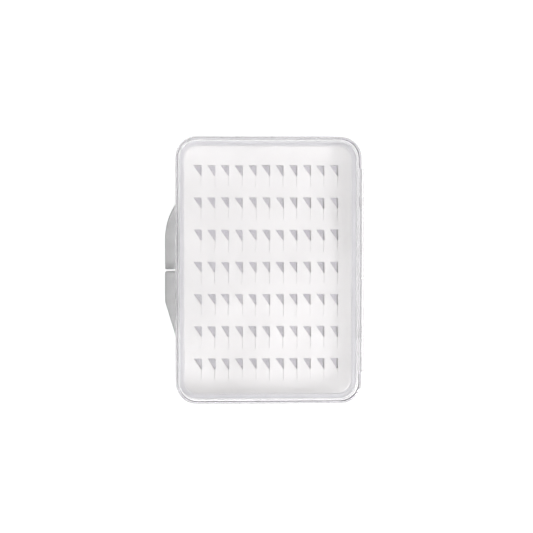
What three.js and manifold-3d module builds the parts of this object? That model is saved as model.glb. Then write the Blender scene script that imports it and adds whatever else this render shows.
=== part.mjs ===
// A slim clear box for dry flies: two shallow moulded shells, hinged on one long side, with a slotted
// foam sheet in the base, a seal in the base rim and a split thumb tab opposite the hinge.
// Units are millimetres. The origin is the centre of the underside, +X points to the hinge,
// +Y runs along the long side and +Z is up. The lid is shut.
import * as THREE from "three";
import { mergeVertices } from "three/addons/utils/BufferGeometryUtils.js";
import Module from "manifold-3d";

const wasm = await Module();
wasm.setup();

// Outer form of the shut box
const BOX_LENGTH = 105; // along Y
const BOX_WIDTH = 73.2; // along X, without hinge and thumb tab
const BOX_HEIGHT = 16;
const PARTING_PLANE = 8; // height where lid and base meet, and of the hinge axis
const PARTING_GAP = 0.1;
const CORNER_RADIUS = 8.5;
const CORNER_STEPS = 5; // the arcs of an outline get twice as many segments as this
const EDGE_STEPS = 3;

// Base shell: insets are measured inwards from the outer outline
const BASE_EDGE_RADIUS = 1.2;
const BASE_FLOOR = 1.6;
const POCKET_INSET = 3.3;
const POCKET_EDGE_RADIUS = 0.3;
const REBATE_INSET = 0.95; // the seal lies in this step around the pocket
const REBATE_FLOOR = 6;

// Lid shell
const LID_EDGE_RADIUS = 1.1;
const LID_WALL = 1.2;
const LID_PLATE = 1.5;
const LID_INNER_EDGE_RADIUS = 0.5;
const LID_FLANGE_INSET = 3.2;
const LID_FLANGE_THICKNESS = 1.3;
const LID_RIB_OUTER_INSET = 1.5;
const LID_RIB_INNER_INSET = 3;
const LID_RIB_DEPTH = 0.65; // below the lid's rim, onto the seal

// Seal, a flat closed silicone ring with rounded edges
const SEAL_INNER_INSET = 3.2;
const SEAL_SIDE_GAP = 0.1;
const SEAL_REST_GAP = 0.05;
const SEAL_EDGE_RADIUS = 0.3;

// Foam sheet and the film that holds it down
const FILM_INSET = 3.8;
const FILM_THICKNESS = 0.25;
const FILM_GAP = 0.05;
const FOAM_INSET = 3.45;
const FOAM_THICKNESS = 5;
const SLOT_COLUMNS = 11;
const SLOT_ROWS = 7;
const SLOT_COLUMN_PITCH = 5.42;
const SLOT_ROW_PITCH = 12.79;
const FIRST_SLOT_RIGHT = -26.25; // right edge of the first column
const FIRST_SLOT_TOP = 41.6; // top edge of the first row
const NOTCH_WIDTH = 3.3;
const NOTCH_HEIGHT = 4.3;
const NOTCH_CORNER = 0.5;
const SLIT_WIDTH = 0.3;
const SLIT_LENGTH = 4.4;

// Hinge: knuckles turn on one steel pin, and each run is [start, end] along Y
const HINGE_OUTSET = 0.55; // from the box's side to the axis
const HINGE_X = BOX_WIDTH / 2 + HINGE_OUTSET;
const KNUCKLE_RADIUS = 1.1;
const KNUCKLE_CLEARANCE = 0.15;
const KNUCKLE_END_GAP = 0.35;
const LID_KNUCKLES = [[-40.5, -27.2], [-23, -3.4], [-2.8, 24.9], [29.3, 40]];
const BASE_KNUCKLES = [[-26.85, -23.35], [25.25, 28.95]];
const PIN_RADIUS = 0.45;
const PIN_BORE_RADIUS = 0.53;
const PIN_SPAN = [-40.3, 39.8];
const BORE_SPAN = [-42, 42];
const ROUND_SIDES = 24;

// Thumb tab: the base's half lies towards +Y and the lid's half towards -Y
const TAB_DEPTH = 4.2;
const TAB_HALF_GAP = 0.3;
const TAB_STRAIGHT_END = 12.4; // where each half starts to fall back to the wall
const TAB_END = 26.2; // where each half meets the wall
const TAB_THICKNESS = 3.3;
const TAB_EDGE_RADIUS = 0.9;
const TAB_ROOT = 2; // the outline runs on this far behind the wall before it is trimmed
const TAB_BOND_GAP = 0.06;
const TONGUE_DEPTH = 2.6;
const TONGUE_THICKNESS = 1.3;
const TONGUE_START = 2.4;
const TONGUE_STRAIGHT_END = 14;
const TONGUE_END = 20;

const WALL_X = -BOX_WIDTH / 2;
const BASE_TOP = PARTING_PLANE - PARTING_GAP / 2;
const LID_BOTTOM = PARTING_PLANE + PARTING_GAP / 2;
const MARGIN = 5; // how far a cutting tool runs past the piece that it cuts

const PLASTIC = { color: 0xeef0f3, roughness: 0.08, metalness: 0 };
const LOOKS = {
  base_shell: PLASTIC,
  lid_shell: PLASTIC,
  rim_seal: { color: 0xdcdce2, roughness: 0.35, metalness: 0 },
  slotted_foam: { color: 0xf3f1f1, roughness: 0.9, metalness: 0 },
  foam_adhesive_film: { color: 0xbfbcc3, roughness: 0.5, metalness: 0 },
  hinge_pin: { color: 0xb4b6ba, roughness: 0.3, metalness: 1 },
  base_thumb_grip: { color: 0xbebec0, roughness: 0.6, metalness: 0 },
  lid_thumb_grip: { color: 0xbebec0, roughness: 0.6, metalness: 0 },
};

// ---- solids -----------------------------------------------------------------------------------

function toSolid(geometry) {
  const bare = geometry.clone();
  bare.deleteAttribute("normal");
  bare.deleteAttribute("uv");
  const merged = mergeVertices(bare);
  return new wasm.Manifold(
    new wasm.Mesh({
      numProp: 3,
      vertProperties: new Float32Array(merged.attributes.position.array),
      triVerts: new Uint32Array(merged.index.array),
    }),
  );
}

function toGeometry(solid) {
  const mesh = solid.getMesh();
  const geometry = new THREE.BufferGeometry();
  geometry.setAttribute("position", new THREE.BufferAttribute(mesh.vertProperties, 3));
  geometry.setIndex(new THREE.BufferAttribute(mesh.triVerts, 1));
  geometry.computeVertexNormals();
  return geometry;
}

// A flat outline, or a list of them, raised from bottom to top, with edges rounded by edgeRadius.
function slab(outline, bottom, top, edgeRadius = 0) {
  const geometry = new THREE.ExtrudeGeometry(outline, {
    depth: top - bottom - 2 * edgeRadius,
    curveSegments: CORNER_STEPS,
    bevelEnabled: edgeRadius > 0,
    bevelThickness: edgeRadius,
    bevelSize: edgeRadius,
    bevelOffset: -edgeRadius,
    bevelSegments: EDGE_STEPS,
  });
  return toSolid(geometry.translate(0, 0, bottom + edgeRadius));
}

function block(low, high) {
  const size = high.map((value, axis) => value - low[axis]);
  const middle = high.map((value, axis) => (value + low[axis]) / 2);
  return toSolid(new THREE.BoxGeometry(...size).translate(...middle));
}

// A round bar on the hinge axis.
function hingeBar(radius, [start, end]) {
  const geometry = new THREE.CylinderGeometry(radius, radius, end - start, ROUND_SIDES);
  return toSolid(geometry.translate(HINGE_X, (start + end) / 2, PARTING_PLANE));
}

// ---- outlines ---------------------------------------------------------------------------------

// The box's outline moved inwards by inset.
function boxOutline(inset) {
  const radius = CORNER_RADIUS - inset;
  const x = BOX_WIDTH / 2 - CORNER_RADIUS;
  const y = BOX_LENGTH / 2 - CORNER_RADIUS;
  const centres = [[x, y], [-x, y], [-x, -y], [x, -y]];
  const outline = new THREE.Shape();
  outline.moveTo(x + radius, y);
  centres.forEach(([centreX, centreY], corner) => {
    const start = (corner * Math.PI) / 2;
    outline.absarc(centreX, centreY, radius, start, start + Math.PI / 2, false);
  });
  return outline;
}

// The space between two insets of the box's outline.
function boxRing(outerInset, innerInset, bottom, top) {
  const inside = slab(boxOutline(innerInset), bottom - MARGIN, top + MARGIN);
  return slab(boxOutline(outerInset), bottom, top).subtract(inside);
}

// One slot of the foam: a notch for the fly's body that runs down into a slit for its hook.
function slotOutline(right, top) {
  const hole = new THREE.Shape();
  const slope = NOTCH_HEIGHT / NOTCH_WIDTH;
  const bottom = top - NOTCH_HEIGHT - SLIT_LENGTH;
  hole.moveTo(right - NOTCH_WIDTH, top);
  hole.lineTo(right - SLIT_WIDTH, top - slope * (NOTCH_WIDTH - SLIT_WIDTH));
  hole.lineTo(right - SLIT_WIDTH, bottom);
  hole.lineTo(right, bottom);
  hole.lineTo(right, top - NOTCH_CORNER);
  hole.lineTo(right - NOTCH_CORNER, top);
  hole.closePath();
  return hole;
}

// The base's half of the thumb tab falls back to the wall in one round sweep.
function baseTabOutline() {
  const run = TAB_END - TAB_STRAIGHT_END;
  const sweep = (run * run + TAB_DEPTH * TAB_DEPTH) / (2 * TAB_DEPTH);
  const centreX = WALL_X - TAB_DEPTH + sweep;
  const wallAngle = Math.PI - Math.asin(run / sweep);
  const outline = new THREE.Shape();
  outline.moveTo(WALL_X + TAB_ROOT, TAB_HALF_GAP);
  outline.lineTo(WALL_X + TAB_ROOT, TAB_END);
  outline.absarc(centreX, TAB_STRAIGHT_END, sweep, wallAngle, Math.PI, false);
  outline.lineTo(WALL_X - TAB_DEPTH, TAB_HALF_GAP);
  outline.closePath();
  return outline;
}

// The lid's half falls back in a straight slope with a soft corner.
function lidTabOutline() {
  const front = WALL_X - TAB_DEPTH;
  const slope = (TAB_END - TAB_STRAIGHT_END) / TAB_DEPTH;
  const softness = 0.5; // along X, where the soft corner joins the slope
  const outline = new THREE.Shape();
  outline.moveTo(WALL_X + TAB_ROOT, -TAB_HALF_GAP);
  outline.lineTo(front, -TAB_HALF_GAP);
  outline.lineTo(front, -TAB_STRAIGHT_END + slope * softness);
  outline.quadraticCurveTo(
    front, -TAB_STRAIGHT_END, front + softness, -TAB_STRAIGHT_END - slope * softness,
  );
  outline.lineTo(WALL_X, -TAB_END);
  outline.lineTo(WALL_X + TAB_ROOT, -TAB_END);
  outline.closePath();
  return outline;
}

// The shell's own tongue inside a thumb grip, grown by gap on every side. side is 1 or -1 along Y.
function tongueOutline(side, gap = 0) {
  const tip = WALL_X - TONGUE_DEPTH - gap;
  const root = WALL_X + REBATE_INSET / 2;
  const points = [
    [root, side * (TONGUE_START - gap)],
    [tip, side * (TONGUE_START - gap)],
    [tip, side * (TONGUE_STRAIGHT_END + gap)],
    [WALL_X, side * (TONGUE_END + gap)],
    [root, side * (TONGUE_END + gap)],
  ];
  if (side > 0) {
    points.reverse();
  }
  return new THREE.Shape(points.map(([x, y]) => new THREE.Vector2(x, y)));
}

function tongue(side, middle, gap = 0) {
  const reach = TONGUE_THICKNESS / 2 + gap;
  return slab(tongueOutline(side, gap), middle - reach, middle + reach);
}

// ---- pieces -----------------------------------------------------------------------------------

const BASE_TAB_MIDDLE = BASE_TOP - TAB_THICKNESS / 2;
const LID_TAB_MIDDLE = LID_BOTTOM + TAB_THICKNESS / 2;

// Frees a shell around the other shell's knuckles, adds its own and drills them for the pin.
function withKnuckles(shell, own, others) {
  let result = shell;
  for (const [start, end] of others) {
    const run = [start - KNUCKLE_END_GAP, end + KNUCKLE_END_GAP];
    result = result.subtract(hingeBar(KNUCKLE_RADIUS + KNUCKLE_CLEARANCE, run));
  }
  for (const run of own) {
    result = result.add(hingeBar(KNUCKLE_RADIUS, run));
  }
  return result.subtract(hingeBar(PIN_BORE_RADIUS, BORE_SPAN));
}

function makeBaseShell() {
  const above = block([-BOX_WIDTH, -BOX_LENGTH, BASE_TOP], [BOX_WIDTH, BOX_LENGTH, BOX_HEIGHT]);
  const body = slab(boxOutline(0), 0, BASE_TOP + 2 * BASE_EDGE_RADIUS, BASE_EDGE_RADIUS)
    .subtract(above)
    .subtract(slab(boxOutline(POCKET_INSET), BASE_FLOOR, BOX_HEIGHT, POCKET_EDGE_RADIUS))
    .subtract(slab(boxOutline(REBATE_INSET), REBATE_FLOOR, BOX_HEIGHT));
  return withKnuckles(body, BASE_KNUCKLES, LID_KNUCKLES).add(tongue(1, BASE_TAB_MIDDLE));
}

function makeLidShell() {
  const ribBottom = LID_BOTTOM - LID_RIB_DEPTH;
  const ceiling = BOX_HEIGHT - LID_PLATE;
  const below = block([-BOX_WIDTH, -BOX_LENGTH, -MARGIN], [BOX_WIDTH, BOX_LENGTH, LID_BOTTOM]);
  const flangeTop = LID_BOTTOM + LID_FLANGE_THICKNESS;
  const body = slab(boxOutline(0), LID_BOTTOM - MARGIN, BOX_HEIGHT, LID_EDGE_RADIUS)
    .subtract(below)
    .subtract(slab(boxOutline(LID_WALL), 0, ceiling, LID_INNER_EDGE_RADIUS))
    .add(boxRing(LID_WALL / 2, LID_FLANGE_INSET, LID_BOTTOM, flangeTop))
    .add(boxRing(LID_RIB_OUTER_INSET, LID_RIB_INNER_INSET, ribBottom, flangeTop));
  return withKnuckles(body, LID_KNUCKLES, BASE_KNUCKLES).add(tongue(-1, LID_TAB_MIDDLE));
}

function makeRimSeal() {
  const outline = boxOutline(REBATE_INSET + SEAL_SIDE_GAP);
  outline.holes.push(boxOutline(SEAL_INNER_INSET));
  const top = LID_BOTTOM - LID_RIB_DEPTH - SEAL_REST_GAP;
  return slab(outline, REBATE_FLOOR + SEAL_REST_GAP, top, SEAL_EDGE_RADIUS);
}

function makeAdhesiveFilm() {
  const bottom = BASE_FLOOR + FILM_GAP;
  return slab(boxOutline(FILM_INSET), bottom, bottom + FILM_THICKNESS);
}

function makeSlottedFoam() {
  const slots = [];
  for (let row = 0; row < SLOT_ROWS; row += 1) {
    for (let column = 0; column < SLOT_COLUMNS; column += 1) {
      const right = FIRST_SLOT_RIGHT + column * SLOT_COLUMN_PITCH;
      slots.push(slotOutline(right, FIRST_SLOT_TOP - row * SLOT_ROW_PITCH));
    }
  }
  const bottom = BASE_FLOOR + FILM_THICKNESS + 2 * FILM_GAP;
  return slab(boxOutline(FOAM_INSET), bottom, bottom + FOAM_THICKNESS)
    .subtract(slab(slots, 0, BOX_HEIGHT));
}

function makeThumbGrip(outline, side, middle) {
  const reach = TAB_THICKNESS / 2;
  const behindWall = block(
    [WALL_X - TAB_BOND_GAP, -BOX_LENGTH, 0],
    [WALL_X + MARGIN, BOX_LENGTH, BOX_HEIGHT],
  );
  return slab(outline, middle - reach, middle + reach, TAB_EDGE_RADIUS)
    .subtract(behindWall)
    .subtract(tongue(side, middle, TAB_BOND_GAP));
}

const SOLIDS = {
  base_shell: makeBaseShell(),
  lid_shell: makeLidShell(),
  rim_seal: makeRimSeal(),
  slotted_foam: makeSlottedFoam(),
  foam_adhesive_film: makeAdhesiveFilm(),
  hinge_pin: hingeBar(PIN_RADIUS, PIN_SPAN),
  base_thumb_grip: makeThumbGrip(baseTabOutline(), 1, BASE_TAB_MIDDLE),
  lid_thumb_grip: makeThumbGrip(lidTabOutline(), -1, LID_TAB_MIDDLE),
};

const group = new THREE.Group();
for (const [name, solid] of Object.entries(SOLIDS)) {
  const material = new THREE.MeshStandardMaterial(LOOKS[name]);
  const mesh = new THREE.Mesh(toGeometry(solid), material);
  mesh.name = name;
  group.add(mesh);
}

export default group;
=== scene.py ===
"""The looks of a slim clear box for dry flies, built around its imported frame.

Two clear shells turn on a steel pin. The base holds a slotted foam sheet on a glue film and a
silicone seal in its rim, and each shell carries one half of a soft grey thumb tab. The scene is in
metres in the frame's own axes: +X to the hinge, +Y along the box, +Z up. Sizes in the classes are
in millimetres, except the stage's, its lamps' and its floor's.
"""
import logging
import math
import random
from dataclasses import dataclass, field
from enum import Enum

import bmesh
import bpy
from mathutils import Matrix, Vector
from mathutils.geometry import delaunay_2d_cdt


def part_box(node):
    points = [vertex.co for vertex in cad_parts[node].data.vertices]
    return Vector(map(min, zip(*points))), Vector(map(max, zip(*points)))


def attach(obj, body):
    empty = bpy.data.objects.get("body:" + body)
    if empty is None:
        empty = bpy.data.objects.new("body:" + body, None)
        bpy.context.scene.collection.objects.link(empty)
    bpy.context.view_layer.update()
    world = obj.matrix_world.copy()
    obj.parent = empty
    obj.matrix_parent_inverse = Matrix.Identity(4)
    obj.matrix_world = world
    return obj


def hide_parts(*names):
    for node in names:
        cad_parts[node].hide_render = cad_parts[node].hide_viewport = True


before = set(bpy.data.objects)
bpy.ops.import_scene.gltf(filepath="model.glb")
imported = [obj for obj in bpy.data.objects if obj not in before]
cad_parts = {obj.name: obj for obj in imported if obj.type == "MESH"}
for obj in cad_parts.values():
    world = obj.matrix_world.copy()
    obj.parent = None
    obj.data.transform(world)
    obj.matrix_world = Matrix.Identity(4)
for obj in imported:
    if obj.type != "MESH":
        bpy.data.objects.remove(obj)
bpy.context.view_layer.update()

LOG = logging.getLogger("fly_box")
MM = 0.001
SMOOTH_BELOW = math.radians(32)

Point2 = tuple[float, float]
Triple = tuple[float, float, float]
Loop = list[Point2]
Runs = tuple[Point2, ...]
Material = bpy.types.Material
Socket = bpy.types.NodeSocket
Solid = bpy.types.Object


class Body(Enum):
    """The bodies of the frame that pieces ride on."""

    BASE = "base"
    LID = "lid"


class Slot(Enum):
    """The record's material slots."""

    CLEAR_PLASTIC = "clear_plastic"
    SILICONE = "silicone"
    WHITE_FOAM = "white_foam"
    ADHESIVE_FILM = "adhesive_film"
    PIN_STEEL = "pin_steel"
    GRIP_RUBBER = "grip_rubber"


class Cut(Enum):
    """What one solid does to another."""

    AWAY = "DIFFERENCE"
    ONTO = "UNION"


# ---- shapes ----


@dataclass(frozen=True)
class Corner:
    """One corner of a section: its inset from the box's outline, height and radius, in mm."""

    inset: float
    height: float
    radius: float = 0.0

    def spot(self) -> Vector:
        """Gives the corner's place in the section."""
        return Vector((self.inset, self.height))


@dataclass(frozen=True)
class Section:
    """A moulding's section, walked from corner to corner."""

    corners: tuple[Corner, ...]
    closed: bool = False
    steps: int = 5

    def points(self) -> Loop:
        """Rounds the corners off.

        Returns:
            (inset, height) of each point along the section, in mm.
        """
        line: Loop = []
        count = len(self.corners)
        for i, corner in enumerate(self.corners):
            at_end = not self.closed and i in (0, count - 1)
            if corner.radius <= 0 or at_end:
                line.append(tuple(corner.spot()))
                continue
            before = self.corners[i - 1].spot()
            after = self.corners[(i + 1) % count].spot()
            line += round_corner(before, corner.spot(), after, corner.radius, self.steps)
        return line


def round_corner(before: Vector, here: Vector, after: Vector, radius: float, steps: int) -> Loop:
    """Replaces a corner of a flat path by an arc.

    Args:
        before: the point before the corner.
        here: the corner.
        after: the point after it.
        radius: the arc's radius.
        steps: how many segments the arc has.

    Returns:
        The arc's points.
    """
    back = (before - here).normalized()
    onward = (after - here).normalized()
    half = back.angle(onward) / 2
    middle = here + (back + onward).normalized() * radius / math.sin(half)
    start = here + back * radius / math.tan(half) - middle
    turn = start.angle_signed(here + onward * radius / math.tan(half) - middle)
    points = []
    for k in range(steps + 1):
        angle = -turn * k / steps
        cos = math.cos(angle)
        sin = math.sin(angle)
        arm = Vector((start.x * cos - start.y * sin, start.x * sin + start.y * cos))
        points.append(tuple(middle + arm))
    return points


@dataclass(frozen=True)
class BoxOutline:
    """The shut box's rounded outline, in mm, that every moulding's section is swept around."""

    half_width: float
    half_length: float
    corner_radius: float = 8.5
    corner_steps: int = 20

    def loop(self, inset: float) -> Loop:
        """Walks the outline once.

        Args:
            inset: how far inside the outline to walk, in mm.

        Returns:
            The points, anticlockwise from the hinge side.
        """
        radius = self.corner_radius - inset
        x = self.half_width - self.corner_radius
        y = self.half_length - self.corner_radius
        points = []
        for quarter, (centre_x, centre_y) in enumerate([(x, y), (-x, y), (-x, -y), (x, -y)]):
            for k in range(self.corner_steps + 1):
                angle = (quarter + k / self.corner_steps) * math.pi / 2
                points.append(
                    (centre_x + radius * math.cos(angle), centre_y + radius * math.sin(angle))
                )
        return points


class Shape:
    """Turns outlines, sections and profiles, given in mm, into mesh objects in metres."""

    @staticmethod
    def from_rings(name: str, rings: list[list[Vector]], closed: bool) -> Solid:
        """Skins a stack of rings.

        Args:
            name: the object's name.
            rings: loops of points, each with as many points as the next.
            closed: whether the last ring meets the first, or both ends are capped.

        Returns:
            The object.
        """
        mesh = bmesh.new()
        loops = [[mesh.verts.new(point * MM) for point in ring] for ring in rings]
        pairs = list(zip(loops, loops[1:]))
        if closed:
            pairs.append((loops[-1], loops[0]))
        for lower, upper in pairs:
            for i in range(len(lower)):
                j = (i + 1) % len(lower)
                mesh.faces.new((lower[i], lower[j], upper[j], upper[i]))
        if not closed:
            mesh.faces.new(loops[0])
            mesh.faces.new(loops[-1])
        return Shape.finish(name, mesh)

    @staticmethod
    def finish(name: str, mesh: bmesh.types.BMesh) -> Solid:
        """Makes an object of a mesh being built, with its faces pointing out.

        Args:
            name: the object's name.
            mesh: the mesh, which is freed.

        Returns:
            The object.
        """
        bmesh.ops.recalc_face_normals(mesh, faces=mesh.faces)
        data = bpy.data.meshes.new(name)
        mesh.to_mesh(data)
        mesh.free()
        thing = bpy.data.objects.new(name, data)
        bpy.context.scene.collection.objects.link(thing)
        return thing

    @staticmethod
    def sweep(name: str, outline: BoxOutline, section: Section) -> Solid:
        """Runs a section around the outline, and caps its open ends right across the box."""
        rings = [
            [Vector((x, y, height)) for x, y in outline.loop(inset)]
            for inset, height in section.points()
        ]
        return Shape.from_rings(name, rings, section.closed)

    @staticmethod
    def turned(name: str, profile: Loop, axis_x: float, axis_z: float, sides: int = 48) -> Solid:
        """Turns a profile around a line along Y.

        Args:
            name: the object's name.
            profile: (place along Y, radius) from one end to the other.
            axis_x: where the line lies along X.
            axis_z: its height.
            sides: how many sides the turning has.

        Returns:
            The object.
        """
        turns = [2 * math.pi * k / sides for k in range(sides)]
        rings = [
            [Vector((axis_x + r * math.cos(turn), y, axis_z + r * math.sin(turn))) for turn in turns]
            for y, r in profile
        ]
        return Shape.from_rings(name, rings, closed=False)

    @staticmethod
    def plate(name: str, loop: Loop, bottom: float, top: float) -> Solid:
        """Raises a flat loop into a plate."""
        rings = [[Vector((x, y, height)) for x, y in loop] for height in (bottom, top)]
        return Shape.from_rings(name, rings, closed=False)

    @staticmethod
    def combine(target: Solid, tool: Solid, how: Cut) -> None:
        """Cuts a tool away from a target or joins it on, and uses the tool up.

        Args:
            target: the object that is changed.
            tool: the other object.
            how: whether to cut away or join on.
        """
        Shape.modify(target, "BOOLEAN", operation=how.value, solver="EXACT", object=tool)
        bpy.data.objects.remove(tool)

    @staticmethod
    def modify(target: Solid, kind: str, **settings: object) -> None:
        """Turns the outcome of one modifier into an object's mesh.

        Args:
            target: the object.
            kind: the modifier's type.
            settings: its settings.
        """
        modifier = target.modifiers.new(kind.lower(), kind)
        for name, value in settings.items():
            setattr(modifier, name, value)
        graph = bpy.context.evaluated_depsgraph_get()
        result = bpy.data.meshes.new_from_object(target.evaluated_get(graph))
        old = target.data
        target.modifiers.clear()
        target.data = result
        result.name = old.name
        bpy.data.meshes.remove(old)

    @staticmethod
    def bevel(target: Solid, width_mm: float, segments: int, angle: float) -> None:
        """Rounds the edges of an object that are sharper than an angle in degrees."""
        shape = {"width": width_mm * MM, "segments": segments, "angle_limit": math.radians(angle)}
        Shape.modify(target, "BEVEL", limit_method="ANGLE", **shape)

    @staticmethod
    def smooth(target: Solid) -> None:
        """Shades an object smooth between its sharp edges, with its flat faces kept flat."""
        target.data.shade_smooth()
        target.data.set_sharp_from_angle(angle=SMOOTH_BELOW)
        weighted = target.modifiers.new("flat_faces_stay_flat", "WEIGHTED_NORMAL")
        weighted.keep_sharp = True


# ---- finishes ----


class Recipe:
    """The node tree of a material or a sky while it is being written."""

    def __init__(self, owner: Material | bpy.types.World, output: str = "OutputMaterial") -> None:
        """Empties the tree and gives it an output.

        Args:
            owner: the material or sky.
            output: the output node's type.
        """
        owner.use_nodes = True
        self.owner = owner
        self.tree = owner.node_tree
        self.tree.nodes.clear()
        self.output = self.tree.nodes.new("ShaderNode" + output)

    def feed(self, target: Socket, value: object) -> None:
        """Gives an input what it takes.

        Args:
            target: the input.
            value: another node's output to link to it, or a plain value.
        """
        if isinstance(value, Socket):
            self.tree.links.new(value, target)
        else:
            target.default_value = value

    def add(
        self, kind: str, output: str, inputs: dict[str | int, object], **settings: str
    ) -> Socket:
        """Adds a node.

        Args:
            kind: the node's type without its ShaderNode prefix.
            output: the output that is wanted.
            inputs: what the inputs take, by their names or numbers.
            settings: attributes of the node.

        Returns:
            The wanted output.
        """
        node = self.tree.nodes.new("ShaderNode" + kind)
        for name, value in settings.items():
            setattr(node, name, value)
        for key, value in inputs.items():
            self.feed(node.inputs[key], value)
        return node.outputs[output]

    def shader(self, **values: object) -> Socket:
        """Adds a Principled shader and sends it to the output.

        Args:
            values: what the inputs take, with _ for each space of an input's name.

        Returns:
            The shader.
        """
        inputs = {name.replace("_", " "): value for name, value in values.items()}
        shader = self.add("BsdfPrincipled", "BSDF", inputs)
        self.feed(self.output.inputs["Surface"], shader)
        return shader

    def place(self, stretch: Triple = (1.0, 1.0, 1.0)) -> Socket:
        """Gives coordinates in millimetres in the frame, made finer along each axis by stretch."""
        here = self.add("TexCoord", "Object", {})
        return self.add("Mapping", "Vector", {"Vector": here, "Scale": [s / MM for s in stretch]})

    def noise(
        self, place: Socket, scale: float, detail: float = 3.0, roughness: float = 0.5
    ) -> Socket:
        """Adds a noise pattern with scale bumps per millimetre of its coordinates."""
        inputs = {"Vector": place, "Scale": scale, "Detail": detail, "Roughness": roughness}
        return self.add("TexNoise", "Fac", inputs)

    def cells(self, place: Socket, scale: float) -> Socket:
        """Adds closed cells, scale of them per millimetre, as the distance from their middles."""
        return self.add("TexVoronoi", "Distance", {"Vector": place, "Scale": scale}, feature="F1")

    def spread(self, value: Socket, low: float, high: float, source: Point2 = (0.3, 0.7)) -> Socket:
        """Stretches a pattern from its own range, the source, to run from low to high."""
        ends = zip(("From Min", "From Max", "To Min", "To Max"), (*source, low, high))
        return self.add("MapRange", "Result", {"Value": value, **dict(ends)})

    def tint(self, value: Socket, stops: list[tuple[float, Triple]]) -> Socket:
        """Colours a pattern.

        Args:
            value: the pattern.
            stops: places from 0 to 1 and the colour at each.

        Returns:
            The colour.
        """
        colour = self.add("ValToRGB", "Color", {"Fac": value})
        ramp = colour.node.color_ramp
        while len(ramp.elements) < len(stops):
            ramp.elements.new(0.5)
        for element, (place, shade) in zip(ramp.elements, stops):
            element.position = place
            element.color = (*shade, 1.0)
        return colour

    def two_tone(self, value: Socket, dark: Triple, light: Triple) -> Socket:
        """Colours a pattern from dark to light."""
        return self.tint(value, [(0.3, dark), (0.7, light)])

    def number(self, operation: str, *values: object) -> Socket:
        """Works out a number from others."""
        return self.add("Math", "Value", dict(enumerate(values)), operation=operation)

    def vector(self, operation: str, *values: object) -> Socket:
        """Works out a vector from others, or its length."""
        output = "Value" if operation == "LENGTH" else "Vector"
        return self.add("VectorMath", output, dict(enumerate(values)), operation=operation)

    def sum(self, first: Socket, second: Socket, share: float) -> Socket:
        """Adds share times the second value to the first."""
        return self.number("MULTIPLY_ADD", second, share, first)

    def bump(self, height: Socket, depth_mm: float, strength: float = 1.0) -> Socket:
        """Bends the normal by a pattern whose full step is depth_mm high."""
        inputs = {"Height": height, "Distance": depth_mm * MM, "Strength": strength}
        return self.add("Bump", "Normal", inputs)


@dataclass(frozen=True)
class ClearPlastic:
    """Clear styrene: polished, hardly tinted, with faint handling marks."""

    name: str = "clear_styrene"
    tint: Triple = (0.99, 0.988, 0.992)
    clearness: float = 0.96
    bending: float = 1.56
    roughness: Point2 = (0.012, 0.05)
    wear_per_mm: float = 0.12
    marks_along: Triple = (1.0, 0.06, 1.0)
    marks_across: Triple = (0.05, 0.9, 1.0)
    marks_per_mm: Point2 = (1.6, 1.3)
    across_share: float = 0.7
    scratch_depth_mm: float = 0.0002
    upright: Point2 = (0.3, 0.9)
    plate_shadow: Triple = (0.96, 0.96, 0.96)
    wall_shadow: Triple = (0.6, 0.6, 0.6)
    depth_tint: Triple = (0.80, 0.79, 0.815)
    depth_density: float = 18.0

    def build(self) -> Material:
        """Writes the material, which lets lamps through so that what it covers is lit.

        Returns:
            The material.
        """
        recipe = Recipe(bpy.data.materials.new(self.name))
        wear = recipe.noise(recipe.place(), self.wear_per_mm, detail=4.0)
        along = recipe.noise(recipe.place(self.marks_along), self.marks_per_mm[0], detail=2.0)
        across = recipe.noise(recipe.place(self.marks_across), self.marks_per_mm[1], detail=2.0)
        marks = recipe.sum(along, across, self.across_share)
        shader = recipe.shader(
            Base_Color=(*self.tint, 1.0),
            Roughness=recipe.spread(wear, *self.roughness),
            IOR=self.bending,
            Transmission_Weight=self.clearness,
            Normal=recipe.bump(marks, self.scratch_depth_mm),
        )
        to_lamp = recipe.add("LightPath", "Is Shadow Ray", {})
        clear = recipe.add("BsdfTransparent", "BSDF", {"Color": self.shade(recipe)})
        mix = recipe.add("MixShader", "Shader", {0: to_lamp, 1: shader, 2: clear})
        recipe.feed(recipe.output.inputs["Surface"], mix)
        depth = {"Color": (*self.depth_tint, 1.0), "Density": self.depth_density}
        inside = recipe.add("VolumeAbsorption", "Volume", depth)
        recipe.feed(recipe.output.inputs["Volume"], inside)
        return recipe.owner

    def shade(self, recipe: Recipe) -> Socket:
        """Gives what lamps lose on their way: little through the plates, more through the walls.

        Args:
            recipe: the material being written.

        Returns:
            The colour.
        """
        facing = recipe.add("NewGeometry", "True Normal", {})
        rise = recipe.add("SeparateXYZ", "Z", {"Vector": facing})
        wall, plate = self.upright
        stops = [(wall, self.wall_shadow), (plate, self.plate_shadow)]
        return recipe.tint(recipe.number("ABSOLUTE", rise), stops)


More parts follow.
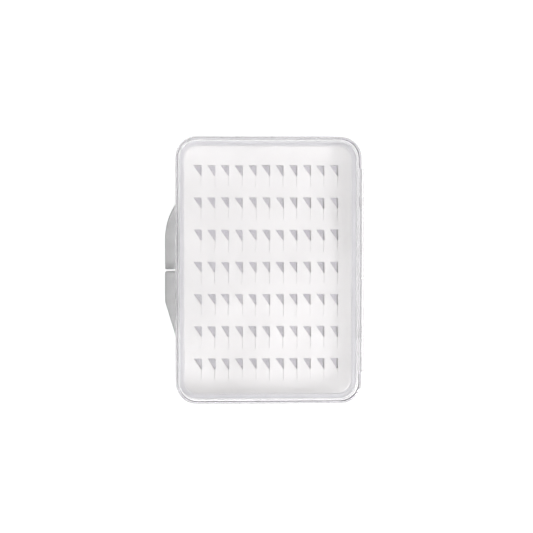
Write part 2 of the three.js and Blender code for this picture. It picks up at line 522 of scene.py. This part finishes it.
@dataclass(frozen=True)
class FoamFinish:
    """White closed-cell foam: chalky, finely pored, and with painted light that makes it a little
    whiter towards its +Y end.
    """

    name: str = "white_closed_cell_foam"
    light: Triple = (0.86, 0.845, 0.842)
    dark: Triple = (0.81, 0.795, 0.792)
    white: Triple = (0.93, 0.915, 0.912)
    roughness: float = 0.92
    clouds_per_mm: float = 0.05
    pores_per_mm: float = 3.2
    pore_share: float = 0.25
    pore_depth_mm: float = 0.05
    grain_per_mm: float = 1.1
    grain_share: float = 0.8
    # Painted light: where, in mm along Y, and how strongly the foam's colour is whitened towards its
    # +Y end.
    painted_light_from_to: Point2 = (24.0, 46.0)
    painted_light_share: float = 0.3

    def build(self) -> Material:
        """Writes the material.

        Returns:
            The material.
        """
        recipe = Recipe(bpy.data.materials.new(self.name))
        place = recipe.place()
        clouds = recipe.noise(place, self.clouds_per_mm, detail=5.0, roughness=0.6)
        pores = recipe.cells(place, self.pores_per_mm)
        along = recipe.add("SeparateXYZ", "Y", {"Vector": place})
        # Painted light: towards the +Y end the colour runs up to white, standing in for brighter
        # light falling there.
        end = recipe.spread(along, 0.0, 1.0, source=self.painted_light_from_to)
        tone = recipe.sum(recipe.sum(clouds, pores, self.pore_share), end, self.painted_light_share)
        grain = recipe.noise(place, self.grain_per_mm, detail=4.0)
        skin = recipe.sum(pores, grain, self.grain_share)
        recipe.shader(
            Base_Color=recipe.tint(tone, [(0.4, self.dark), (0.65, self.light), (1.0, self.white)]),
            Roughness=self.roughness,
            Subsurface_Weight=0.0,
            Normal=recipe.bump(skin, self.pore_depth_mm, strength=0.6),
        )
        return recipe.owner


@dataclass(frozen=True)
class FilmFinish:
    """Glue film: a thin grey-violet carrier with a faint crepe."""

    name: str = "glue_film"
    light: Triple = (0.86, 0.70, 0.99)
    dark: Triple = (0.74, 0.58, 0.88)
    roughness: float = 0.55
    cover: Point2 = (0.18, 0.28)
    crepe_stretch: Triple = (1.0, 0.35, 1.0)
    crepe_per_mm: float = 0.8
    crepe_depth_mm: float = 0.03

    def build(self) -> Material:
        """Writes the material.

        Returns:
            The material.
        """
        recipe = Recipe(bpy.data.materials.new(self.name))
        crepe = recipe.noise(recipe.place(self.crepe_stretch), self.crepe_per_mm, detail=5.0)
        recipe.shader(
            Base_Color=recipe.two_tone(crepe, self.dark, self.light),
            Roughness=self.roughness,
            Alpha=recipe.spread(crepe, *self.cover),
            Normal=recipe.bump(crepe, self.crepe_depth_mm),
        )
        return recipe.owner


@dataclass(frozen=True)
class TonedFinish:
    """A finish of two tones in soft clouds or long marks, with a fine grain."""

    name: str
    light: Triple
    dark: Triple
    roughness: Point2
    tones_per_mm: float
    grain_per_mm: float
    grain_depth_mm: float
    tone_detail: float = 3.0
    grain_detail: float = 3.0
    grain_strength: float = 1.0
    stretch: Triple = (1.0, 1.0, 1.0)
    metal: float = 0.0
    clearness: float = 0.0
    bending: float = 1.5

    def build(self) -> Material:
        """Writes the material.

        Returns:
            The material.
        """
        recipe = Recipe(bpy.data.materials.new(self.name))
        place = recipe.place(self.stretch)
        tones = recipe.noise(place, self.tones_per_mm, self.tone_detail)
        grain = recipe.noise(place, self.grain_per_mm, self.grain_detail)
        recipe.shader(
            Base_Color=recipe.two_tone(tones, self.dark, self.light),
            Metallic=self.metal,
            Roughness=recipe.spread(tones, *self.roughness),
            IOR=self.bending,
            Transmission_Weight=self.clearness,
            Normal=recipe.bump(grain, self.grain_depth_mm, self.grain_strength),
        )
        return recipe.owner


@dataclass(frozen=True)
class GripFinish(TonedFinish):
    """Soft grey grip rubber with a spark-eroded mould texture."""

    name: str = "soft_grey_grip"
    light: Triple = (0.5, 0.5, 0.502)
    dark: Triple = (0.45, 0.45, 0.453)
    roughness: Point2 = (0.5, 0.68)
    tones_per_mm: float = 0.25
    tone_detail: float = 4.0
    grain_per_mm: float = 5.0
    grain_detail: float = 2.0
    grain_depth_mm: float = 0.025
    grain_strength: float = 0.7


@dataclass(frozen=True)
class SiliconeFinish(TonedFinish):
    """Milky silicone, satin, that lets some light through."""

    name: str = "milky_silicone"
    light: Triple = (0.96, 0.95, 0.985)
    dark: Triple = (0.92, 0.91, 0.945)
    roughness: Point2 = (0.32, 0.45)
    tones_per_mm: float = 0.3
    grain_per_mm: float = 4.0
    grain_depth_mm: float = 0.01
    clearness: float = 0.15
    bending: float = 1.41


@dataclass(frozen=True)
class PinSteel(TonedFinish):
    """Drawn steel wire, with the die's marks along it."""

    name: str = "drawn_steel"
    light: Triple = (0.88, 0.89, 0.90)
    dark: Triple = (0.66, 0.67, 0.69)
    roughness: Point2 = (0.3, 0.5)
    tones_per_mm: float = 9.0
    grain_per_mm: float = 9.0
    grain_depth_mm: float = 0.006
    stretch: Triple = (1.0, 0.04, 1.0)
    metal: float = 1.0


@dataclass(frozen=True)
class FloorFinish:
    """Matt white paper with an even glow, weaker far from the box, and dimmed right under it as a
    painted shadow.

    The glow and the paper change between start and end, in metres from the box's middle, and the
    painted shadow under the box fades between fade_start and fade_end, in millimetres inside its
    outline.
    """

    name: str = "stage_paper"
    near: Triple = (0.45, 0.45, 0.45)
    far: Triple = (0.4, 0.4, 0.4)
    roughness: float = 0.9
    shine: float = 0.1
    glow: float = 0.8
    far_glow: float = 0.56
    start: float = 0.35
    end: float = 1.4
    # Painted shadow: the share of the glow that is left right under the box.
    glow_in_painted_shadow: float = 0.93
    fade_start: float = 2.5
    fade_end: float = 0.6

    def build(self, outline: BoxOutline) -> Material:
        """Writes the material.

        Args:
            outline: the outline of the box that stands on it.

        Returns:
            The material.
        """
        recipe = Recipe(bpy.data.materials.new(self.name))
        away = recipe.vector("LENGTH", recipe.add("TexCoord", "Object", {}))
        share = recipe.spread(away, 0.0, 1.0, source=(self.start, self.end))
        fading = recipe.spread(share, self.glow, self.far_glow, source=(0.0, 1.0))
        recipe.shader(
            Base_Color=recipe.tint(share, [(0.0, self.near), (1.0, self.far)]),
            Roughness=self.roughness,
            Specular_IOR_Level=self.shine,
            Emission_Color=(1.0, 1.0, 1.0, 1.0),
            Emission_Strength=recipe.number("MULTIPLY", fading, self.contact(recipe, outline)),
        )
        return recipe.owner

    def contact(self, recipe: Recipe, outline: BoxOutline) -> Socket:
        """Gives how much of the glow is left under the box, where it is dimmed as a painted shadow
        of the box.

        Args:
            recipe: the material being written.
            outline: the box's outline.

        Returns:
            The share, 1 outside the box.
        """
        radius = outline.corner_radius
        middle = (outline.half_width - radius, outline.half_length - radius, 0.0)
        past = recipe.vector("ABSOLUTE", recipe.place((1.0, 1.0, 0.0)))
        past = recipe.vector("SUBTRACT", past, middle)
        away = recipe.vector("LENGTH", recipe.vector("MAXIMUM", past))
        edge = (radius - self.fade_start, radius - self.fade_end)
        return recipe.spread(away, self.glow_in_painted_shadow, 1.0, source=edge)


def install(piece: Solid, material: Material, body: Body, node: str) -> None:
    """Smooths and dresses a piece and puts it on the frame in place of a CAD node.

    Args:
        piece: the finished object.
        material: its material.
        body: the body that it rides on.
        node: the CAD node that it stands for.
    """
    Shape.smooth(piece)
    piece.data.materials.clear()
    piece.data.materials.append(material)
    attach(piece, body.value)
    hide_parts(node)
    LOG.info("%s rides on %s, %d faces", piece.name, body.value, len(piece.data.polygons))


# ---- the box ----


def box_outline() -> BoxOutline:
    """Measures the shut box's outline on the frame's rim seal, which lies centred in it."""
    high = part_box("rim_seal")[1] / MM
    return BoxOutline(high.x + Seal.outer_inset, high.y + Seal.outer_inset)


@dataclass
class Hinge:
    """The hinge: where its axis lies, and the runs of knuckles along it, in mm."""

    axis_x: float = 37.15
    axis_z: float = 8.0
    radius: float = 1.1
    clearance: float = 0.15
    end_gap: float = 0.35
    chamfer: float = 0.15
    bore_radius: float = 0.5
    bore: Point2 = (-42.0, 42.0)
    lid_runs: Runs = ((-40.5, -27.2), (-23.0, -3.4), (-2.8, 24.9), (29.3, 40.0))
    base_runs: Runs = ((-26.85, -23.35), (25.25, 28.95))

    def bar(self, name: str, radius: float, run: Point2, chamfer: float = 0.0) -> Solid:
        """Makes a round bar on the axis.

        Args:
            name: the object's name.
            radius: the bar's radius.
            run: its two ends along Y.
            chamfer: how much its ends are taken off.

        Returns:
            The bar.
        """
        start, end = run
        profile = [(start, radius), (end, radius)]
        if chamfer > 0:
            profile = [
                (start, radius - chamfer),
                (start + chamfer, radius),
                (end - chamfer, radius),
                (end, radius - chamfer),
            ]
        return Shape.turned(name, profile, self.axis_x, self.axis_z)

    def freed(self, runs: Runs) -> Loop:
        """Grows runs by the end gap and joins those that then meet.

        Args:
            runs: the runs, from the lowest to the highest.

        Returns:
            The grown runs.
        """
        grown: Loop = []
        for start, end in runs:
            start, end = start - self.end_gap, end + self.end_gap
            if grown and start <= grown[-1][1]:
                grown[-1] = (grown[-1][0], end)
            else:
                grown.append((start, end))
        return grown

    def fit(self, shell: Solid, own: Runs, others: Runs) -> None:
        """Frees a shell around the other's knuckles, adds its own and drills them.

        Args:
            shell: the shell.
            own: its own knuckles.
            others: the other shell's knuckles.
        """
        for run in self.freed(others):
            tool = self.bar("relief", self.radius + self.clearance, run)
            Shape.combine(shell, tool, Cut.AWAY)
        for run in own:
            Shape.combine(shell, self.bar("knuckle", self.radius, run, self.chamfer), Cut.ONTO)
        Shape.combine(shell, self.bar("bore", self.bore_radius, self.bore), Cut.AWAY)


@dataclass
class ThumbTab:
    """The split thumb tab on the side away from the hinge, in mm."""

    wall_x: float = -36.6
    depth: float = 4.2
    half_gap: float = 0.3
    straight_end: float = 12.4
    end: float = 26.2
    thickness: float = 3.3
    root: float = 2.0
    edge_radius: float = 0.9
    bond_gap: float = 0.06
    tongue_depth: float = 2.6
    tongue_thickness: float = 1.3
    tongue_start: float = 2.4
    tongue_straight_end: float = 14.0
    tongue_end: float = 20.0
    tongue_root: float = 0.8
    slope_radius: float = 6.0
    slope_steps: int = 10
    sweep_steps: int = 28
    rib_radius: float = 0.3
    rib_pitch: float = 0.48
    rib_count: int = 5
    rib_depth: float = 0.1
    rib_inset: float = 0.25
    rib_tip: float = 0.02
    rib_run: Point2 = (2.2, 15.5)
    beyond: float = 60.0

    def base_loop(self) -> Loop:
        """Gives the outline of the base's half, which falls back in one round sweep.

        Returns:
            The outline's points.
        """
        run = self.end - self.straight_end
        sweep = (run**2 + self.depth**2) / (2 * self.depth)
        centre_x = self.wall_x - self.depth + sweep
        first = math.pi - math.asin(run / sweep)
        back_x = self.wall_x + self.root
        points = [(back_x, self.half_gap), (back_x, self.end)]
        for k in range(self.sweep_steps + 1):
            angle = first + (math.pi - first) * k / self.sweep_steps
            points.append(
                (centre_x + sweep * math.cos(angle), self.straight_end + sweep * math.sin(angle))
            )
        points.append((self.wall_x - self.depth, self.half_gap))
        return points

    def lid_loop(self) -> Loop:
        """Gives the outline of the lid's half, which falls back in a straight slope.

        Returns:
            The outline's points.
        """
        front = self.wall_x - self.depth
        back_x = self.wall_x + self.root
        corner = round_corner(
            Vector((front, -self.half_gap)),
            Vector((front, -self.straight_end)),
            Vector((self.wall_x, -self.end)),
            self.slope_radius,
            self.slope_steps,
        )
        return [
            (back_x, -self.half_gap),
            (front, -self.half_gap),
            *corner,
            (self.wall_x, -self.end),
            (back_x, -self.end),
        ]

    def tongue(self, side: int, middle: float, gap: float = 0.0) -> Solid:
        """Makes the shell's own tongue inside a grip.

        Args:
            side: 1 for the base's half, -1 for the lid's.
            middle: its middle height.
            gap: how much it is grown on every side.

        Returns:
            The tongue.
        """
        tip = self.wall_x - self.tongue_depth - gap
        root = self.wall_x + self.tongue_root
        loop = [
            (root, side * (self.tongue_start - gap)),
            (tip, side * (self.tongue_start - gap)),
            (tip, side * (self.tongue_straight_end + gap)),
            (self.wall_x, side * (self.tongue_end + gap)),
            (root, side * (self.tongue_end + gap)),
        ]
        reach = self.tongue_thickness / 2 + gap
        return Shape.plate("tongue", loop, middle - reach, middle + reach)

    def grip(self, name: str, loop: Loop, side: int, middle: float) -> Solid:
        """Makes one soft grip, which ends at the wall and is hollow for its tongue.

        Args:
            name: the object's name.
            loop: its outline, which runs on behind the wall.
            side: 1 for the base's half, -1 for the lid's.
            middle: its middle height.

        Returns:
            The grip.
        """
        reach = self.thickness / 2
        grip = Shape.plate(name, loop, middle - reach, middle + reach)
        Shape.bevel(grip, self.edge_radius, segments=6, angle=40)
        wall = self.wall_x - self.bond_gap
        beyond = self.beyond
        behind = [(wall, -beyond), (0.0, -beyond), (0.0, beyond), (wall, beyond)]
        Shape.combine(grip, Shape.plate("behind_wall", behind, -beyond, beyond), Cut.AWAY)
        Shape.combine(grip, self.tongue(side, middle, self.bond_gap), Cut.AWAY)
        return grip

    def rib(self, grip: Solid, side: int, top: float) -> None:
        """Cuts fine grooves along a grip's upper face, so that ribs are left for the thumb.

        Args:
            grip: the grip.
            side: 1 for the base's half, -1 for the lid's.
            top: the upper face's height.
        """
        near, far = sorted((side * self.rib_run[0], side * self.rib_run[1]))
        radius = self.rib_radius
        tip = self.rib_tip
        profile = [(near, tip), (near + radius, radius), (far - radius, radius), (far, tip)]
        first = self.wall_x - self.depth + self.edge_radius + self.rib_inset
        for i in range(self.rib_count):
            x = first + i * self.rib_pitch
            tool = Shape.turned("groove", profile, x, top + radius - self.rib_depth, sides=16)
            Shape.combine(grip, tool, Cut.AWAY)

    @staticmethod
    def middle(node: str) -> float:
        """Gives the middle height of a grip's CAD node."""
        low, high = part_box(node)
        return (low.z + high.z) / 2 / MM


@dataclass
class Shells:
    """The two clear mouldings, in mm."""

    height: float = 16.0
    parting: float = 8.0
    parting_gap: float = 0.1
    base_edge: float = 1.2
    floor: float = 1.6
    pocket_inset: float = 3.3
    rebate: float = 0.95
    rebate_floor: float = 6.0
    lid_edge: float = 1.1
    lid_wall: float = 1.2
    lid_plate: float = 1.5
    flange_inset: float = 3.2
    flange_thickness: float = 1.3
    rib_outer: float = 1.5
    rib_inner: float = 3.0
    rib_depth: float = 0.65
    cap_inset: float = 6.0
    hinge: Hinge = field(default_factory=Hinge)
    tab: ThumbTab = field(default_factory=ThumbTab)

    def base_section(self) -> Section:
        """Gives the base's section, from its underside round the rim to its floor.

        Returns:
            The section.
        """
        top = self.parting - self.parting_gap / 2
        return Section(
            (
                Corner(self.cap_inset, 0.0),
                Corner(0.0, 0.0, self.base_edge),
                Corner(0.0, top, 0.15),
                Corner(self.rebate, top, 0.1),
                Corner(self.rebate, self.rebate_floor, 0.25),
                Corner(self.pocket_inset, self.rebate_floor, 0.15),
                Corner(self.pocket_inset, self.floor, 0.3),
                Corner(self.cap_inset, self.floor),
            )
        )

    def lid_section(self) -> Section:
        """Gives the lid's section, from its top round the rim to its ceiling.

        Returns:
            The section.
        """
        bottom = self.parting + self.parting_gap / 2
        flange_top = bottom + self.flange_thickness
        ceiling = self.height - self.lid_plate
        return Section(
            (
                Corner(self.cap_inset, self.height),
                Corner(0.0, self.height, self.lid_edge),
                Corner(0.0, bottom, 0.15),
                Corner(self.rib_outer, bottom, 0.08),
                Corner(self.rib_outer, bottom - self.rib_depth, 0.25),
                Corner(self.rib_inner, bottom - self.rib_depth, 0.25),
                Corner(self.rib_inner, bottom, 0.08),
                Corner(self.flange_inset, bottom, 0.08),
                Corner(self.flange_inset, flange_top, 0.3),
                Corner(self.lid_wall, flange_top, 0.5),
                Corner(self.lid_wall, ceiling, 0.5),
                Corner(self.cap_inset, ceiling),
            )
        )

    def build(self, outline: BoxOutline, plastic: Material) -> None:
        """Moulds both shells.

        Args:
            outline: the box's outline.
            plastic: the clear plastic.
        """
        base_runs = self.hinge.base_runs
        lid_runs = self.hinge.lid_runs
        base = Shape.sweep("clear_base_shell", outline, self.base_section())
        self.finish(base, base_runs, lid_runs, 1, "base_thumb_grip")
        install(base, plastic, Body.BASE, "base_shell")
        lid = Shape.sweep("clear_lid_shell", outline, self.lid_section())
        self.finish(lid, lid_runs, base_runs, -1, "lid_thumb_grip")
        install(lid, plastic, Body.LID, "lid_shell")

    def finish(self, shell: Solid, own: Runs, others: Runs, side: int, grip: str) -> None:
        """Gives a shell its knuckles and its tongue.

        Args:
            shell: the shell.
            own: its own knuckles.
            others: the other shell's knuckles.
            side: 1 for the base's tongue, -1 for the lid's.
            grip: the CAD node of the grip around the tongue.
        """
        self.hinge.fit(shell, own, others)
        Shape.combine(shell, self.tab.tongue(side, self.tab.middle(grip)), Cut.ONTO)

    def build_grips(self, rubber: Material) -> None:
        """Moulds the soft grips over both tongues.

        Args:
            rubber: the grip rubber.
        """
        tab = self.tab
        base = tab.grip("soft_base_grip", tab.base_loop(), 1, tab.middle("base_thumb_grip"))
        lid_middle = tab.middle("lid_thumb_grip")
        lid = tab.grip("soft_lid_grip", tab.lid_loop(), -1, lid_middle)
        tab.rib(lid, -1, lid_middle + tab.thickness / 2)
        install(base, rubber, Body.BASE, "base_thumb_grip")
        install(lid, rubber, Body.LID, "lid_thumb_grip")


@dataclass
class Seal:
    """The flat silicone seal on the step of the base's rim, in mm."""

    outer_inset: float = 1.05
    inner_inset: float = 3.2
    round: float = 0.35

    def build(self, outline: BoxOutline, silicone: Material) -> None:
        """Lays the seal on its step.

        Args:
            outline: the box's outline.
            silicone: the seal's material.
        """
        low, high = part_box("rim_seal")
        bottom, top = low.z / MM, high.z / MM
        outer, inner = self.outer_inset, self.inner_inset
        spots = ((outer, bottom), (outer, top), (inner, top), (inner, bottom))
        section = Section(tuple(Corner(*spot, self.round) for spot in spots), closed=True)
        seal = Shape.sweep("silicone_rim_seal", outline, section)
        install(seal, silicone, Body.BASE, "rim_seal")


@dataclass
class HingePin:
    """The drawn steel pin that both shells turn on, in mm."""

    radius: float = 0.45
    chamfer: float = 0.12

    def build(self, hinge: Hinge, steel: Material) -> None:
        """Turns the pin.

        Args:
            hinge: the hinge whose axis it lies on.
            steel: its material.
        """
        low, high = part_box("hinge_pin")
        run = (low.y / MM, high.y / MM)
        pin = hinge.bar("steel_hinge_pin", self.radius, run, self.chamfer)
        install(pin, steel, Body.BASE, "hinge_pin")


@dataclass
class SlottedFoam:
    """The white foam sheet, in mm, with slots of a notch for the fly and a slit for its hook."""

    inset: float = 3.45
    columns: int = 11
    rows: int = 7
    column_pitch: float = 5.42
    row_pitch: float = 12.79
    first_right: float = -26.25
    first_top: float = 41.6
    notch_width: float = 3.3
    notch_height: float = 4.3
    notch_corner: float = 0.55
    notch_foot: float = 0.5
    foot_start: float = 0.97
    slit_top_width: float = 0.1
    slit_end_width: float = 0.06
    slit_length: float = 4.4
    place_scatter: Point2 = (0.07, 0.08)
    width_scatter: float = 0.16
    height_scatter: float = 0.12
    lean_scatter: float = 0.12
    foot_range: Point2 = (0.8, 1.2)
    tip_range: Point2 = (0.35, 0.65)
    corner_range: Point2 = (0.7, 1.3)
    slit_range: Point2 = (0.93, 1.05)
    edge_round: float = 0.14
    grid: float = 1.25
    grid_margin: float = 0.5
    grid_corner: float = 5.0
    waviness: float = 0.03
    seed: int = 7

    def slot_loop(self, right: float, top: float, dice: random.Random) -> Loop:
        """Cuts one slot, a little differently each time, as a punch does in soft foam.

        Args:
            right: the slot's right edge.
            top: its top edge.
            dice: the source of the small differences.

        Returns:
            The slot's outline.
        """
        right_scatter, top_scatter = self.place_scatter
        right += dice.uniform(-right_scatter, right_scatter)
        top += dice.uniform(-top_scatter, top_scatter)
        width = self.notch_width + dice.uniform(-self.width_scatter, self.width_scatter)
        height = self.notch_height + dice.uniform(-self.height_scatter, self.height_scatter)
        foot = self.notch_foot * dice.uniform(*self.foot_range)
        tip = right - foot * dice.uniform(*self.tip_range)
        corner = round_corner(
            Vector((right, top - height)),
            Vector((right, top)),
            Vector((right - width, top)),
            self.notch_corner * dice.uniform(*self.corner_range),
            steps=4,
        )
        end = top - height - self.slit_length * dice.uniform(*self.slit_range)
        half_top = self.slit_top_width / 2
        half_end = self.slit_end_width / 2
        lean = tip + dice.uniform(-self.lean_scatter, self.lean_scatter)
        foot_top = top - height * self.foot_start
        return [
            (right - width, top),
            (right - foot, foot_top),
            (tip - half_top, top - height),
            (lean - half_end, end),
            (lean + half_end, end),
            (tip + half_top, top - height),
            (right, foot_top),
            *corner,
        ]

    def slots(self) -> list[Loop]:
        """Lists the outlines of all slots."""
        dice = random.Random(self.seed)
        return [
            self.slot_loop(
                self.first_right + column * self.column_pitch,
                self.first_top - row * self.row_pitch,
                dice,
            )
            for row in range(self.rows)
            for column in range(self.columns)
        ]

    def build(self, outline: BoxOutline, foam: Material) -> None:
        """Args:
            outline: the box's outline.
            foam: its material.
        """
        low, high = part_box("slotted_foam")
        sheet = self.punched(outline, low.z / MM, high.z / MM)
        Shape.bevel(sheet, self.edge_round, segments=2, angle=50)
        install(sheet, foam, Body.BASE, "slotted_foam")

    def punched(self, outline: BoxOutline, bottom: float, top: float) -> Solid:
        """Makes the sheet with its slots through it.

        Args:
            outline: the box's outline.
            bottom: the sheet's underside.
            top: its upper face.

        Returns:
            The sheet.
        """
        loops = [outline.loop(self.inset), *self.slots()]
        points: list[Vector] = []
        edges: list[tuple[int, int]] = []
        for loop in loops:
            first = len(points)
            points += [Vector(point) for point in loop]
            edges += [(first + i, first + (i + 1) % len(loop)) for i in range(len(loop))]
        points += self.grid_points(loops)
        flat, _, faces, *_ = delaunay_2d_cdt(points, edges, [], 1, 1e-4)
        kept = [face for face in faces if not self.in_a_slot(flat, face, loops[1:])]
        dice = random.Random(self.seed)
        swell = [dice.uniform(-1, 1) * self.waviness for _ in flat]
        rim = {i for edge in self.outline_edges(kept) for i in edge}
        mesh = bmesh.new()
        lower = [mesh.verts.new(Vector((p.x, p.y, bottom)) * MM) for p in flat]
        upper = [
            mesh.verts.new(Vector((p.x, p.y, top - (0 if i in rim else abs(swell[i])))) * MM)
            for i, p in enumerate(flat)
        ]
        for face in kept:
            mesh.faces.new([upper[i] for i in face])
            mesh.faces.new([lower[i] for i in reversed(face)])
        for a, b in self.outline_edges(kept):
            mesh.faces.new((lower[a], lower[b], upper[b], upper[a]))
        loose = [v for v in mesh.verts if not v.link_faces]
        bmesh.ops.delete(mesh, geom=loose, context="VERTS")
        return Shape.finish("white_slotted_foam", mesh)

    @staticmethod
    def outline_edges(faces: list[list[int]]) -> list[tuple[int, int]]:
        """Finds the edges that only one face has, in that face's direction.

        Args:
            faces: faces as lists of points.

        Returns:
            The edges.
        """
        seen = {(f[i], f[(i + 1) % len(f)]) for f in faces for i in range(len(f))}
        return sorted(edge for edge in seen if (edge[1], edge[0]) not in seen)

    def grid_points(self, loops: list[Loop]) -> list[Vector]:
        """Lays a grid of points over the sheet, clear of its cut edges.

        Args:
            loops: the sheet's outline and its slots.

        Returns:
            The points.
        """
        reach_x = max(x for x, _ in loops[0])
        reach_y = max(y for _, y in loops[0])
        boxes = [
            (min(x for x, _ in s), max(x for x, _ in s), min(y for _, y in s), max(y for _, y in s))
            for s in loops[1:]
        ]
        margin = self.grid_margin
        corner = self.grid_corner
        points = []
        for i in range(int(2 * reach_x / self.grid)):
            for j in range(int(2 * reach_y / self.grid)):
                x = -reach_x + (i + 0.5) * self.grid
                y = -reach_y + (j + 0.5) * self.grid
                past = max(abs(x) - reach_x + corner, 0), max(abs(y) - reach_y + corner, 0)
                if math.hypot(*past) > corner - 2 * margin:
                    continue
                near = any(
                    a - margin < x < b + margin and c - margin < y < d + margin
                    for a, b, c, d in boxes
                )
                if not near:
                    points.append(Vector((x, y)))
        return points

    @staticmethod
    def in_a_slot(flat: list[Vector], face: list[int], slots: list[Loop]) -> bool:
        """Says whether a face's middle lies in one of the slots.

        Args:
            flat: the points.
            face: the face's points.
            slots: the slots' outlines.

        Returns:
            True if it does.
        """
        x = sum(flat[i].x for i in face) / len(face)
        y = sum(flat[i].y for i in face) / len(face)
        for slot in slots:
            if not min(p[0] for p in slot) < x < max(p[0] for p in slot):
                continue
            if not min(p[1] for p in slot) < y < max(p[1] for p in slot):
                continue
            inside = False
            for (ax, ay), (bx, by) in zip(slot, slot[1:] + slot[:1]):
                if (ay > y) != (by > y) and x < ax + (bx - ax) * (y - ay) / (by - ay):
                    inside = not inside
            if inside:
                return True
        return False


@dataclass
class GlueFilm:
    """The film that holds the foam, in mm, whose glue wets the floor and leaves no air."""

    inset: float = 3.8
    floor: float = 1.6
    wetting: float = 0.02

    def build(self, outline: BoxOutline, film: Material) -> None:
        """Lays the film.

        Args:
            outline: the box's outline.
            film: its material.
        """
        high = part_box("foam_adhesive_film")[1]
        bottom = self.floor - self.wetting
        sheet = Shape.plate("foam_glue_film", outline.loop(self.inset), bottom, high.z / MM)
        install(sheet, film, Body.BASE, "foam_adhesive_film")


# ---- the stage ----


@dataclass(frozen=True)
class Lamp:
    """A round soft lamp, in metres and watts."""

    name: str
    place: Triple
    size: float
    power: float

    def hang(self) -> None:
        """Hangs the lamp and turns it to the box."""
        data = bpy.data.lights.new(self.name, "AREA")
        data.shape = "DISK"
        data.size = self.size
        data.energy = self.power
        lamp = bpy.data.objects.new(self.name, data)
        lamp.location = self.place
        lamp.rotation_euler = (-Vector(self.place)).to_track_quat("-Z", "Y").to_euler()
        bpy.context.scene.collection.objects.link(lamp)


@dataclass
class Stage:
    """Pale floor, soft light and the camera almost straight above, in metres."""

    floor_half: float = 3.0
    floor_top: float = -0.00003
    floor_bottom: float = -0.004
    aim: Triple = (-0.0009, 0.00156, 0.014)
    camera_away: Triple = (-0.030, 0.015, 0.5808)
    lens: float = 100.0
    sensor: float = 36.0
    lamps: tuple[Lamp, ...] = (
        Lamp("key_light", (0.53, -0.36, 0.38), 0.22, 3.35),
        Lamp("fill_light", (-0.1, -0.72, 0.4), 0.6, 1.7),
    )
    sky_strength: float = 0.575
    horizon: tuple[float, Triple] = (0.05, (1.5, 1.5, 1.5))
    zenith: tuple[float, Triple] = (0.4, (1.0, 1.0, 1.0))

    def build(self, outline: BoxOutline) -> None:
        """Sets up camera, floor, lamps, sky and the plain view of the colours.

        Args:
            outline: the box's outline.
        """
        self.place_camera()
        self.lay_floor(outline)
        for lamp in self.lamps:
            lamp.hang()
        self.paint_sky()
        view = bpy.context.scene.view_settings
        view.view_transform = "Standard"
        view.look = "None"

    def place_camera(self) -> None:
        """Hangs the camera over the box, with +Y up in its view, and turns it to the aim."""
        lens = bpy.data.cameras.new("camera")
        lens.lens = self.lens
        lens.sensor_width = self.sensor
        camera = bpy.data.objects.new("camera", lens)
        across, along, up = self.camera_away
        camera.location = Vector(self.aim) + Vector(self.camera_away)
        camera.rotation_euler = (-math.atan2(along, up), math.atan2(across, up), 0.0)
        bpy.context.scene.collection.objects.link(camera)
        bpy.context.scene.camera = camera

    def lay_floor(self, outline: BoxOutline) -> None:
        """Lays the floor just under the box.

        Args:
            outline: the box's outline.
        """
        half = self.floor_half / MM
        loop = [(half, half), (-half, half), (-half, -half), (half, -half)]
        floor = Shape.plate("stage_floor", loop, self.floor_bottom / MM, self.floor_top / MM)
        floor.data.materials.append(FloorFinish().build(outline))

    def paint_sky(self) -> None:
        """Makes a white sky that is brighter towards the horizon."""
        world = bpy.data.worlds.new("soft_box_sky")
        bpy.context.scene.world = world
        recipe = Recipe(world, "OutputWorld")
        height = recipe.add("SeparateXYZ", "Z", {"Vector": recipe.add("TexCoord", "Generated", {})})
        colour = recipe.tint(height, [self.horizon, self.zenith])
        inputs = {"Color": colour, "Strength": self.sky_strength}
        recipe.feed(recipe.output.inputs["Surface"], recipe.add("Background", "Background", inputs))


def main() -> None:
    """Builds the stage and the box, and writes down how large the visual model is."""
    logging.basicConfig(level=logging.INFO, format="%(name)s: %(message)s")
    outline = box_outline()
    Stage().build(outline)
    shells = Shells()
    GlueFilm().build(outline, FilmFinish().build())
    SlottedFoam().build(outline, FoamFinish().build())
    Seal().build(outline, SiliconeFinish().build())
    HingePin().build(shells.hinge, PinSteel().build())
    shells.build(outline, ClearPlastic().build())
    shells.build_grips(GripFinish().build())
    bpy.context.view_layer.update()


if __name__ == "__main__":
    main()
